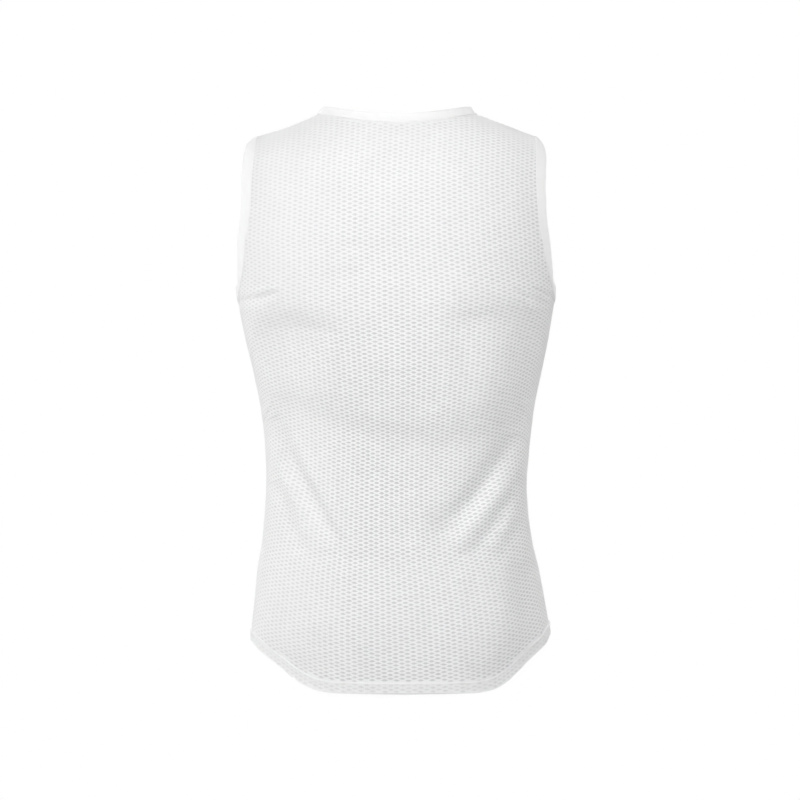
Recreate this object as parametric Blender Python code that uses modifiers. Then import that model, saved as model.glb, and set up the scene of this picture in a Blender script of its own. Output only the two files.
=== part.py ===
"""Sleeveless base layer in open mesh knit, in the hollow shape that it takes when worn.

The garment is two panels, front and back, sewn at the shoulders and sides, with a
binding round the neck, one round each armhole and a turned-up hem.  The wearer faces
-Y, +Z is up and the wearer's left is +X.  The origin is midway between the shoulder
seams, at the height where the shoulders carry the garment.  Sizes are in millimetres
and are scaled to metres when the meshes are made.
"""

import bpy
import numpy as np

MM = 0.001

# ---------------------------------------------------------------- driving sizes, mm
UNDERARM_Z = -195.0  # level where the armholes end
CLOSE_Z = -130.0  # above this level the form closes over the shoulders
LEAN_END_Z = -65.0  # above this level the lean of the form fades out
CLOSE_BACK = 2.2  # roundness of that closing, at the back and at the front
CLOSE_FRONT = 2.05
SHOULDER_NECK_X = 91.5  # half the width of the neck seam, at the shoulder seam
SHOULDER_NECK_Z = 16.5  # height of the shoulder seam at the neck
SHOULDER_TIP_X = 157.0  # outer end of the shoulder seam
SHOULDER_SLOPE = 0.378  # fall of the shoulder seam for each mm outwards
SHOULDER_DIP = 2.6  # the left shoulder seam sags this much midway
NECK_PEAK_Z = 40.0  # height the form would close at over the neck
NECK_BACK_Z = 1.0  # neck seam at the centre back
NECK_FRONT_Z = -74.0  # neck seam at the centre front
HEM_BACK_Z = -627.5  # lowest edge, centre back
HEM_FRONT_Z = -592.0  # lowest edge, centre front
HEM_SIDE_Z = -572.5  # lowest edge at the side seams
HEM_SHIFT = 2.5  # the hem's curve sits this much towards the wearer's right
HEM_LEAN = 5.0  # the side seam ends this much lower on the left, higher on the right

PANEL_WALL = 1.2  # knit
BAND_WALL = 2.4  # folded bindings, and the two layers of the turned hem
NECK_BAND = 11.5  # widths of the bindings and of the hem
ARM_BAND = 12.0
HEM_BAND = 12.5
SEAM = 0.4  # gap between neighbouring pieces, along the cloth

HALF_COLUMNS = 12  # divisions of half a panel
LOW_ROWS = 19  # divisions below and above the underarm
HIGH_ROWS = 16
CENTRE_ROWS = {"back": 9, "front": 6}  # those above it that cross the centre line

# Horizontal sections of the worn form.  half: half-width, back and front: depth
# behind and before the side seams, lean: how far the section sits towards the
# wearer's left, square: exponent of the section, 2 being an ellipse.
SECTION = ("z", "half", "back", "front", "lean", "square")
SECTIONS = (
    (-700.0, 175.0, 119.0, 97.0, -8.0, 2.40),
    (-625.0, 172.0, 121.0, 98.0, -7.0, 2.40),
    (-567.0, 168.8, 118.5, 99.0, -4.8, 2.40),
    (-533.0, 164.2, 113.0, 99.0, -3.8, 2.40),
    (-499.0, 159.4, 105.0, 98.0, -2.2, 2.40),
    (-465.0, 152.6, 96.5, 97.0, -0.8, 2.40),
    (-431.0, 148.8, 90.5, 96.0, 0.0, 2.40),
    (-403.0, 147.4, 88.0, 96.5, 0.0, 2.40),
    (-363.0, 149.4, 89.0, 98.0, -1.0, 2.42),
    (-318.0, 154.4, 93.0, 101.5, -1.2, 2.48),
    (-272.0, 163.6, 99.5, 106.5, -1.2, 2.58),
    (-238.0, 171.0, 103.5, 110.0, -0.6, 2.70),
    (-204.0, 177.0, 106.5, 112.0, 0.2, 2.80),
    (-193.0, 178.6, 107.2, 112.0, 0.2, 2.83),
    (-165.0, 179.6, 108.0, 111.0, 1.0, 2.90),
    (-130.0, 183.0, 108.0, 108.5, 2.8, 3.00),
)

# Lower edge of the hem, as the share of its rise from the centre to the side seam,
# at each share of the half-width.
HEM = ("share", "rise")
HEM_EDGE = (
    (0.00, 0.000),
    (0.44, 0.010),
    (0.56, 0.055),
    (0.66, 0.165),
    (0.75, 0.320),
    (0.83, 0.510),
    (0.90, 0.670),
    (0.96, 0.835),
    (1.00, 1.000),
)

# Armhole seam: how much is cut away from the panel's side at each height above the
# underarm, measured along the cloth, on the back and on the front.
ARMHOLE = ("above", "back", "front")
ARMHOLES = (
    (0.0, 0.0, 0.0),
    (1.2, 12.0, 12.5),
    (4.6, 24.0, 25.5),
    (11.0, 36.0, 38.5),
    (21.0, 47.0, 51.0),
    (36.0, 58.5, 64.0),
    (56.0, 69.0, 76.5),
    (80.0, 77.5, 86.5),
    (108.0, 82.0, 91.0),
    (140.0, 83.5, 92.0),
    (175.0, 84.5, 90.5),
    (240.0, 87.5, 88.5),
)

# Largest creases in the worn knit, as lines on the front and back seen square on.
# depth is positive for a trough and negative for a ridge, width is its half-width
# and bow is how far its middle stands off the straight line.
CREASE = ("side", "x0", "z0", "x1", "z1", "bow", "depth", "width")
CREASES = (
    ("back", -126.0, -346.0, -57.0, -434.0, 3.0, 3.4, 9.0),
    ("back", -124.0, -376.0, -74.0, -448.0, -3.0, -2.2, 8.0),
    ("back", -116.0, -402.0, -84.0, -474.0, 3.0, 2.4, 8.0),
    ("back", 131.0, -346.0, 64.0, -450.0, -3.0, 3.0, 9.0),
    ("back", 138.0, -358.0, 84.0, -454.0, -3.0, -2.0, 9.0),
    ("back", 132.0, -396.0, 102.0, -454.0, 0.0, 1.6, 7.0),
    ("front", 128.0, -344.0, 62.0, -428.0, -3.0, 2.8, 10.0),
    ("front", -130.0, -338.0, -58.0, -436.0, 4.0, 3.0, 10.0),
    ("front", -122.0, -392.0, -82.0, -460.0, 3.0, 2.0, 8.0),
)

# Colours of the knit and of the plain pieces, and the cloth's roughness.
KNIT_WHITE = (0.80, 0.80, 0.80, 1.0)
PLAIN_WHITE = (0.86, 0.86, 0.86, 1.0)
ROUGHNESS = 0.85


# ---------------------------------------------------------------- curves
def smooth_table(columns, rows, key, name, at):
    """One named column of a table, read at the values `at` of its key column through
    a monotone cubic curve, and held level past its ends."""
    rows = sorted(rows, key=lambda row: row[columns.index(key)])
    knots = np.array([row[columns.index(key)] for row in rows])
    value = np.array([row[columns.index(name)] for row in rows])
    gaps = np.diff(knots)
    slope = np.diff(value) / gaps
    tangent = np.zeros(len(value))
    tangent[0], tangent[-1] = slope[0], slope[-1]
    for k in range(1, len(slope)):
        if slope[k - 1] * slope[k] > 0:
            a, b = 2 * gaps[k] + gaps[k - 1], gaps[k] + 2 * gaps[k - 1]
            tangent[k] = (a + b) / (a / slope[k - 1] + b / slope[k])
    at = np.clip(np.asarray(at, float), knots[0], knots[-1])
    i = np.clip(np.searchsorted(knots, at) - 1, 0, len(gaps) - 1)
    t = (at - knots[i]) / gaps[i]
    return (
        value[i] * (1 + 2 * t) * (1 - t) ** 2
        + tangent[i] * gaps[i] * t * (1 - t) ** 2
        + value[i + 1] * t * t * (3 - 2 * t)
        - tangent[i + 1] * gaps[i] * t * t * (1 - t)
    )


def section(name, z):
    return smooth_table(SECTION, SECTIONS, "z", name, z)


def quarter(half, depth, power, count=400):
    """A quarter of a section from its middle (0, depth) to its side (half, 0), with
    the distance along it at each point."""
    angle = np.linspace(0, np.pi / 2, count)
    x = half * np.sin(angle) ** (2 / power)
    y = depth * np.cos(angle) ** (2 / power)
    x[-1], y[-1] = half, 0.0
    return x, y, np.concatenate([[0], np.cumsum(np.hypot(np.diff(x), np.diff(y)))])


def shoulder_z(x):
    """Height of the shoulder seam over x, carried on as a low dome over the neck."""
    sag = SHOULDER_DIP * np.sin(np.pi * np.clip((x - 70.0) / 95.0, 0, 1)) ** 2
    x = np.abs(x)
    dome = NECK_PEAK_Z - (NECK_PEAK_Z - SHOULDER_NECK_Z) * (x / SHOULDER_NECK_X) ** 1.35
    seam = SHOULDER_NECK_Z - SHOULDER_SLOPE * (x - SHOULDER_NECK_X)
    round_off = 5.0 * (np.clip(x - SHOULDER_TIP_X, 0, None) / 14.0) ** 2.2
    return np.where(x < SHOULDER_NECK_X, dome, seam) - round_off - sag


def neck_z(side, x):
    """Height of the neck seam at x."""
    share = np.clip(np.abs(x) / SHOULDER_NECK_X, 0, 1)
    if side == "back":
        return NECK_BACK_Z + (SHOULDER_NECK_Z - NECK_BACK_Z) * share**1.9
    return NECK_FRONT_Z + (SHOULDER_NECK_Z - NECK_FRONT_Z) * share**2.3


def hem_z(side, x, z):
    """Height of the lower edge at x, on a section at about the height z."""
    away = (x - section("lean", z) + HEM_SHIFT) / section("half", z)
    lowest = HEM_BACK_Z if side == "back" else HEM_FRONT_Z
    rise = smooth_table(HEM, HEM_EDGE, "share", "rise", np.abs(away))
    end = HEM_SIDE_Z - HEM_LEAN * np.sign(away)
    return lowest + (end - lowest) * rise


# ---------------------------------------------------------------- the worn form
class Form:
    """One side of the worn form.  across runs from -1 at the wearer's right side seam
    to 1 at the left one, and up is the height, or above CLOSE_Z the distance along
    the cloth on its way over the shoulder."""

    def __init__(self, side):
        self.side = side
        self.sign = 1.0 if side == "back" else -1.0
        self.power = CLOSE_BACK if side == "back" else CLOSE_FRONT
        x, y, along = quarter(
            section("half", CLOSE_Z), section(side, CLOSE_Z), section("square", CLOSE_Z)
        )
        self.top_x, self.top_y, self.top_share = x, y, along / along[-1]
        self.top_length = along[-1]

    def length(self, up):
        """Distance along the cloth from the middle of the panel to its side."""
        z = min(up, CLOSE_Z)
        return quarter(section("half", z), section(self.side, z), section("square", z))[2][-1]

    def over(self, across):
        """The column's way over the shoulder: its points and the distance along it."""
        x = np.sign(across) * np.interp(abs(across), self.top_share, self.top_x)
        depth = np.interp(abs(across), self.top_share, self.top_y)
        angle = np.linspace(0, np.pi / 2, 300)
        y = depth * np.cos(angle) ** (2 / self.power)
        y[-1] = 0.0
        z = CLOSE_Z + (shoulder_z(x) - CLOSE_Z) * np.sin(angle) ** (2 / self.power)
        along = np.concatenate([[0], np.cumsum(np.hypot(np.diff(y), np.diff(z)))])
        return x, y, z, CLOSE_Z + along

    def top(self, across):
        """The value of up at the shoulder seam."""
        return self.over(across)[3][-1]

    def at_height(self, across, z):
        """The value of up at the height z on the way over the shoulder."""
        _, _, height, up = self.over(across)
        return z if z < CLOSE_Z else np.interp(z, height, up)

    def across_at(self, x):
        """The column that passes the shoulder at x."""
        return np.interp(x, self.top_x, self.top_share)

    def point(self, across, up):
        sign = -1.0 if across < 0 else 1.0
        if up <= CLOSE_Z:
            x, y, along = quarter(
                section("half", up), section(self.side, up), section("square", up)
            )
            share = along / along[-1]
            x = np.interp(abs(across), share, x)
            y, z = np.interp(abs(across), share, y), up
            lean = section("lean", up)
        else:
            x, ys, zs, ups = self.over(across)
            x = abs(x)
            y, z = np.interp(up, ups, ys), np.interp(up, ups, zs)
            t = min(max((z - LEAN_END_Z) / -LEAN_END_Z, 0.0), 1.0)
            lean = section("lean", CLOSE_Z) * (1 - t * t * (3 - 2 * t))
        return np.array([sign * x + lean, self.sign * y, z])

    def normal(self, across, up):
        """Direction out of the form."""
        h = 0.004
        top = self.top(across) - 0.3
        up = min(up, top)
        a = self.point(min(across + h, 1.0), up) - self.point(max(across - h, -1.0), up)
        b = self.point(across, min(up + 1.0, top)) - self.point(across, up - 1.0)
        n = np.cross(a, b) * -self.sign
        return n / np.linalg.norm(n)

    def creased(self, across, up):
        p = self.point(across, up)
        move = crease_offset(self.side, p[0], p[2])
        return p + self.normal(across, up) * move if move else p


def crease_offset(side, x, z):
    """How far the creases move the cloth out (+) or in (-) at the place (x, z)."""
    moved = 0.0
    for row in CREASES:
        c = dict(zip(CREASE, row))
        if c["side"] != side:
            continue
        dx, dz = c["x1"] - c["x0"], c["z1"] - c["z0"]
        length = np.hypot(dx, dz)
        along = ((x - c["x0"]) * dx + (z - c["z0"]) * dz) / length**2
        if not 0 < along < 1:
            continue
        across = ((x - c["x0"]) * dz - (z - c["z0"]) * dx) / length
        across -= c["bow"] * 4 * along * (1 - along)
        moved -= c["depth"] * np.sin(np.pi * along) ** 0.8 * np.exp(-((across / c["width"]) ** 2))
    return moved


# ---------------------------------------------------------------- the cut pieces
def armhole_points(form, sign, inset):
    """The armhole seam of the left (1) or right (-1) side, from the underarm to the
    shoulder, as (across, up), moved into the panel by inset."""
    length = form.length(UNDERARM_Z)
    tip = form.across_at(SHOULDER_TIP_X)
    top = form.top(sign * tip) - UNDERARM_Z
    above = np.linspace(0, 1, 600) ** 2.2 * top
    cut = smooth_table(ARMHOLE, ARMHOLES, "above", form.side, above)
    wide = np.array([form.length(UNDERARM_Z + a) for a in np.linspace(0, top, 40)])
    wide = np.interp(above, np.linspace(0, top, 40), wide)
    cut *= 1 + ((1 - tip) * wide[-1] / cut[-1] - 1) * above / top
    along = np.concatenate([[0], np.cumsum(np.hypot(np.diff(cut), np.diff(above)))])
    even = np.linspace(0, 1, HIGH_ROWS + 1) * along[-1]
    c, a, w = (np.interp(even, along, v) for v in (cut, above, wide))
    dc, da = np.gradient(c), np.gradient(a)
    dc[0], da[0] = 1.0, 0.0
    size = np.hypot(dc, da)
    c, a = c + inset * da / size, a - inset * dc / size
    c[0] += inset
    return sign * (1 - c / w), UNDERARM_Z + a


def neck_points(form, sign, inset):
    """The neck seam from the centre to the left (1) or right (-1) shoulder as
    (across, up), moved into the panel by inset, in even steps along it."""
    limit = sign * form.across_at(SHOULDER_NECK_X)
    across = limit * np.sin(np.linspace(0, np.pi / 2, 160))
    up = np.array([neck_up(form, a) for a in across])
    places = np.array([form.point(a, u) for a, u in zip(across, up)])
    steps = np.linalg.norm(np.diff(places, axis=0), axis=1)
    along = np.concatenate([[0], np.cumsum(steps)])
    even = np.linspace(0, 1, HIGH_ROWS - CENTRE_ROWS[form.side] + 1) * along[-1]
    a, u = np.interp(even, along, across), np.interp(even, along, up)
    da, du = np.gradient(a * form.top_length), np.gradient(u)
    da[0], du[0] = sign, 0.0
    size = np.hypot(da, du) * sign
    a, u = a + inset * du / size / form.top_length, u - inset * da / size
    a[0] = 0.0
    return a, u


def panel_half(form, sign, inset):
    """Rows of (across, up) over the left (1) or right (-1) half of a panel, from the
    centre, and above it the neck, to the side and armhole, with the edges moved in by
    inset."""
    n, centre = HALF_COLUMNS, CENTRE_ROWS[form.side]
    side_across, side_up = armhole_points(form, sign, inset)
    neck_across, neck_up_ = neck_points(form, sign, inset)
    side_up[-1] = form.top(side_across[-1]) - inset
    neck_up_[-1] = form.top(neck_across[-1]) - inset
    base = UNDERARM_Z - inset
    side_up[0] = base
    wide = side_across[0]
    rows = []
    for i in range(LOW_ROWS):
        row = []
        for j in range(n + 1):
            across = wide * j / n
            row.append((across, i / LOW_ROWS))
        rows.append(row)
    for i in range(HIGH_ROWS + 1):
        g = i / HIGH_ROWS
        if i <= centre:
            inner = np.array([0.0, base + (neck_up_[0] - base) * i / centre])
        else:
            inner = np.array([neck_across[i - centre], neck_up_[i - centre]])
        outer = np.array([side_across[i], side_up[i]])
        row = []
        for j in range(n + 1):
            f = j / n
            across = neck_across[-1] + (side_across[-1] - neck_across[-1]) * f
            low = np.array([wide * f, base])
            high = np.array([across, form.top(across) - inset])
            corners = (1 - f) * (1 - g) * np.array([0.0, base])
            corners += f * (1 - g) * np.array([wide, base])
            corners += (1 - f) * g * np.array([neck_across[-1], neck_up_[-1]])
            corners += f * g * np.array([side_across[-1], side_up[-1]])
            place = (1 - f) * inner + f * outer + (1 - g) * low + g * high - corners
            row.append(tuple(place))
        rows.append(row)
    return rows


def neck_up(form, across):
    """The value of up at the neck seam."""
    return form.at_height(across, neck_z(form.side, form.over(across)[0]))


def hem_slope(form, across):
    """Slope of the lower edge along the cloth."""
    low, high = max(across - 0.02, -1.0), min(across + 0.02, 1.0)
    return (hem_up(form, high) - hem_up(form, low)) / ((high - low) * form.length(-600.0))


def hem_up(form, across):
    """The value of up at the lower edge."""
    up = -600.0
    for _ in range(4):
        up = float(hem_z(form.side, form.point(across, up)[0], up))
    return up


def hem_seam(form, across):
    """The value of up at the seam between the panel and the hem."""
    return hem_up(form, across) + HEM_BAND * np.hypot(1, hem_slope(form, across))


# ---------------------------------------------------------------- objects
def cloth(name, vertices, faces, wall, colour):
    """An object from an open surface, as a shell of the given wall."""
    mesh = bpy.data.meshes.new(name)
    mesh.from_pydata([tuple(p * MM) for p in vertices], [], faces)
    mesh.validate()
    mesh.shade_smooth()
    thing = bpy.data.objects.new(name, mesh)
    shirt.objects.link(thing)
    shell = thing.modifiers.new("Wall", "SOLIDIFY")
    shell.thickness = wall * MM
    shell.offset = 0.0
    shell.use_even_offset = True
    material = bpy.data.materials.new(name)
    material.use_nodes = True
    principled = material.node_tree.nodes["Principled BSDF"]
    principled.inputs["Base Color"].default_value = colour
    principled.inputs["Roughness"].default_value = ROUGHNESS
    principled.inputs["Metallic"].default_value = 0.0
    mesh.materials.append(material)
    thing.parent = root
    return thing


def ring(name, rows, wall, colour, flip):
    """A closed band from its rows of points, each row a loop."""
    count = len(rows[0])
    faces = []
    for i in range(len(rows) - 1):
        for j in range(count):
            k = (j + 1) % count
            face = (i * count + j, i * count + k, (i + 1) * count + k, (i + 1) * count + j)
            faces.append(face[::-1] if flip else face)
    return cloth(name, [p for row in rows for p in row], faces, wall, colour)


def panel(side):
    """One panel, its halves joined down the centre as far as the neck."""
    form = Form(side)
    vertices, faces, index = [], [], {}
    for sign in (1, -1):
        rows = panel_half(form, sign, SEAM / 2)
        for i, row in enumerate(rows):
            for j, (across, up) in enumerate(row):
                if j == 0 and i <= LOW_ROWS + CENTRE_ROWS[side] and sign < 0:
                    index[sign, i, j] = index[1, i, j]
                    continue
                if i < LOW_ROWS:
                    low = hem_seam(form, across) + SEAM / 2
                    up = low + (UNDERARM_Z - SEAM / 2 - low) * up
                index[sign, i, j] = len(vertices)
                vertices.append(form.creased(across, up))
        for i in range(len(rows) - 1):
            for j in range(HALF_COLUMNS):
                face = [(i, j), (i, j + 1), (i + 1, j + 1), (i + 1, j)]
                face = [index[sign, *corner] for corner in face]
                faces.append(face[::-1] if (side == "back") == (sign > 0) else face)
    return cloth(side, vertices, faces, PANEL_WALL, KNIT_WHITE)


def loop_band(name, loop, lift, width, up_share):
    """A binding along a closed seam.  loop holds (point, normal) pairs, lift bends the
    band towards the outside (+) or inside (-) of the form and up_share towards +Z."""
    points = np.array([p for p, _ in loop])
    normals = np.array([n for _, n in loop])
    tangents = np.roll(points, -1, axis=0) - np.roll(points, 1, axis=0)
    tangents /= np.linalg.norm(tangents, axis=1)[:, None]
    away = np.cross(tangents, normals)
    away /= np.linalg.norm(away, axis=1)[:, None]
    centre = points.mean(axis=0)
    if np.mean(np.sum(away * (centre - points), axis=1)) < 0:
        away = -away
    above = np.array([0, 0, 1.0]) - tangents * tangents[:, 2:]
    rows = []
    for share in (0.0, 0.35, 0.7, 1.0):
        reach = SEAM / 2 + (width - SEAM / 2) * share
        bend = away + normals * lift * share + above * up_share * share
        bend /= np.linalg.norm(bend, axis=1)[:, None]
        rows.append(list(points + bend * reach))
    return rows


def armhole_band(sign):
    loop = []
    for side in ("back", "front"):
        form = Form(side)
        across, up = armhole_points(form, sign, 0.0)
        up[-1] = form.top(across[-1])
        part = [(form.creased(a, u), form.normal(a, u)) for a, u in zip(across, up)]
        loop.append(part)
    back, front = loop
    whole = back[:-1] + [joint(back[-1], front[-1])] + front[-2:0:-1]
    whole[0] = joint(back[0], front[0])
    rows = loop_band("armhole", whole, -0.12, ARM_BAND, 0.0)
    name = "armhole_band_left" if sign > 0 else "armhole_band_right"
    return ring(name, rows, BAND_WALL, PLAIN_WHITE, sign > 0)


def neckband():
    loop = []
    for side in ("back", "front"):
        form = Form(side)
        right, left = (list(zip(*neck_points(form, sign, 0.0))) for sign in (-1, 1))
        part = []
        for across, up in right[:0:-1] + left:
            part.append((form.point(across, up), form.normal(across, up)))
        loop.append(part)
    back, front = loop
    whole = [joint(back[0], front[0])] + back[1:-1] + [joint(back[-1], front[-1])]
    whole += front[-2:0:-1]
    rows = loop_band("neck", whole, 0.0, NECK_BAND, 0.75)
    return ring("neckband", rows, BAND_WALL, PLAIN_WHITE, False)


def joint(one, other):
    """Where two pieces meet at a seam: the middle of their points and normals."""
    normal = one[1] + other[1]
    return (one[0] + other[0]) / 2, normal / np.linalg.norm(normal)


def hem_ring():
    rows = []
    for share in (0.0, 0.5, 1.0):
        row = []
        for side in ("back", "front"):
            form = Form(side)
            order = range(-HALF_COLUMNS, HALF_COLUMNS)
            for j in order:
                across = j / HALF_COLUMNS * (1 if side == "back" else -1)
                edge = hem_up(form, across)
                seam = hem_seam(form, across) - SEAM / 2
                row.append(form.point(across, edge + (seam - edge) * share))
        rows.append(row)
    return ring("hem", rows, BAND_WALL, PLAIN_WHITE, True)


for old in list(bpy.data.objects):
    bpy.data.objects.remove(old, do_unlink=True)

shirt = bpy.data.collections.new("sleeveless_base_layer")
bpy.context.scene.collection.children.link(shirt)
root = bpy.data.objects.new("shoulders", None)
shirt.objects.link(root)

panel("back")
panel("front")
neckband()
armhole_band(1)
armhole_band(-1)
hem_ring()
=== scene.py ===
"""Looks of the sleeveless base layer: the open mesh knit of the two panels, the folded
bindings, the turned hem, their stitching and materials, and the studio around them.

The worn form is the one that the part's own source describes, in the same sizes: the
wearer faces -Y, +Z is up and the wearer's left is +X.  Sizes are in millimetres and are
scaled to metres when the meshes are made.
"""

import math

import bpy
import numpy as np
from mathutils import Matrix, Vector


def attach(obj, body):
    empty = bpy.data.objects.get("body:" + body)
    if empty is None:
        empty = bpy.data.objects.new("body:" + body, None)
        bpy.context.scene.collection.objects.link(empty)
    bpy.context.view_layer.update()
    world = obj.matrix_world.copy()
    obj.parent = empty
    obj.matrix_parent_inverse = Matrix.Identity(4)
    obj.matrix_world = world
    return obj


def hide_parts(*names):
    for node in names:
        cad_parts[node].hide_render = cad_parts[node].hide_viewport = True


MM = 0.001

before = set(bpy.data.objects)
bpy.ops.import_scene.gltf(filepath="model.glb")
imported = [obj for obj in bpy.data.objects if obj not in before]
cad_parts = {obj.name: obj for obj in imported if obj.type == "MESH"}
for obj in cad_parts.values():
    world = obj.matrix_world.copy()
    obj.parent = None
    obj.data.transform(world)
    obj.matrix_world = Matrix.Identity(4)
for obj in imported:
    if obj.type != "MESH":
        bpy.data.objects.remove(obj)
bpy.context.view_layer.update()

# ---------------------------------------------------------------- sizes of the form
UNDERARM_Z = -195.0
CLOSE_Z = -130.0
LEAN_END_Z = -65.0
CLOSE_BACK = 2.2
CLOSE_FRONT = 2.05
SHOULDER_NECK_X = 91.5
SHOULDER_NECK_Z = 16.5
SHOULDER_TIP_X = 157.0
SHOULDER_SLOPE = 0.378
SHOULDER_DIP = 2.6
NECK_PEAK_Z = 40.0
NECK_BACK_Z = 1.0
NECK_FRONT_Z = -74.0
HEM_BACK_Z = -627.5
HEM_FRONT_Z = -592.0
HEM_SIDE_Z = -572.5
HEM_SHIFT = 2.5
HEM_LEAN = 5.0
NECK_BAND = 11.5
ARM_BAND = 12.0
HEM_BAND = 12.5

SECTION = ("z", "half", "back", "front", "lean", "square")
SECTIONS = (
    (-700.0, 175.0, 119.0, 97.0, -8.0, 2.40),
    (-625.0, 172.0, 121.0, 98.0, -7.0, 2.40),
    (-567.0, 168.8, 118.5, 99.0, -4.8, 2.40),
    (-533.0, 164.2, 113.0, 99.0, -3.8, 2.40),
    (-499.0, 159.4, 105.0, 98.0, -2.2, 2.40),
    (-465.0, 152.6, 96.5, 97.0, -0.8, 2.40),
    (-431.0, 148.8, 90.5, 96.0, 0.0, 2.40),
    (-403.0, 147.4, 88.0, 96.5, 0.0, 2.40),
    (-363.0, 149.4, 89.0, 98.0, -1.0, 2.42),
    (-318.0, 154.4, 93.0, 101.5, -1.2, 2.48),
    (-272.0, 163.6, 99.5, 106.5, -1.2, 2.58),
    (-238.0, 171.0, 103.5, 110.0, -0.6, 2.70),
    (-204.0, 177.0, 106.5, 112.0, 0.2, 2.80),
    (-193.0, 178.6, 107.2, 112.0, 0.2, 2.83),
    (-165.0, 179.6, 108.0, 111.0, 1.0, 2.90),
    (-130.0, 183.0, 108.0, 108.5, 2.8, 3.00),
)

HEM = ("share", "rise")
HEM_EDGE = (
    (0.00, 0.000),
    (0.44, 0.010),
    (0.56, 0.055),
    (0.66, 0.165),
    (0.75, 0.320),
    (0.83, 0.510),
    (0.90, 0.670),
    (0.96, 0.835),
    (1.00, 1.000),
)

ARMHOLE = ("above", "back", "front")
ARMHOLES = (
    (0.0, 0.0, 0.0),
    (1.2, 12.0, 12.5),
    (4.6, 24.0, 25.5),
    (11.0, 36.0, 38.5),
    (21.0, 47.0, 51.0),
    (36.0, 58.5, 64.0),
    (56.0, 69.0, 76.5),
    (80.0, 77.5, 86.5),
    (108.0, 82.0, 91.0),
    (140.0, 83.5, 92.0),
    (175.0, 84.5, 90.5),
    (240.0, 87.5, 88.5),
)

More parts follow.
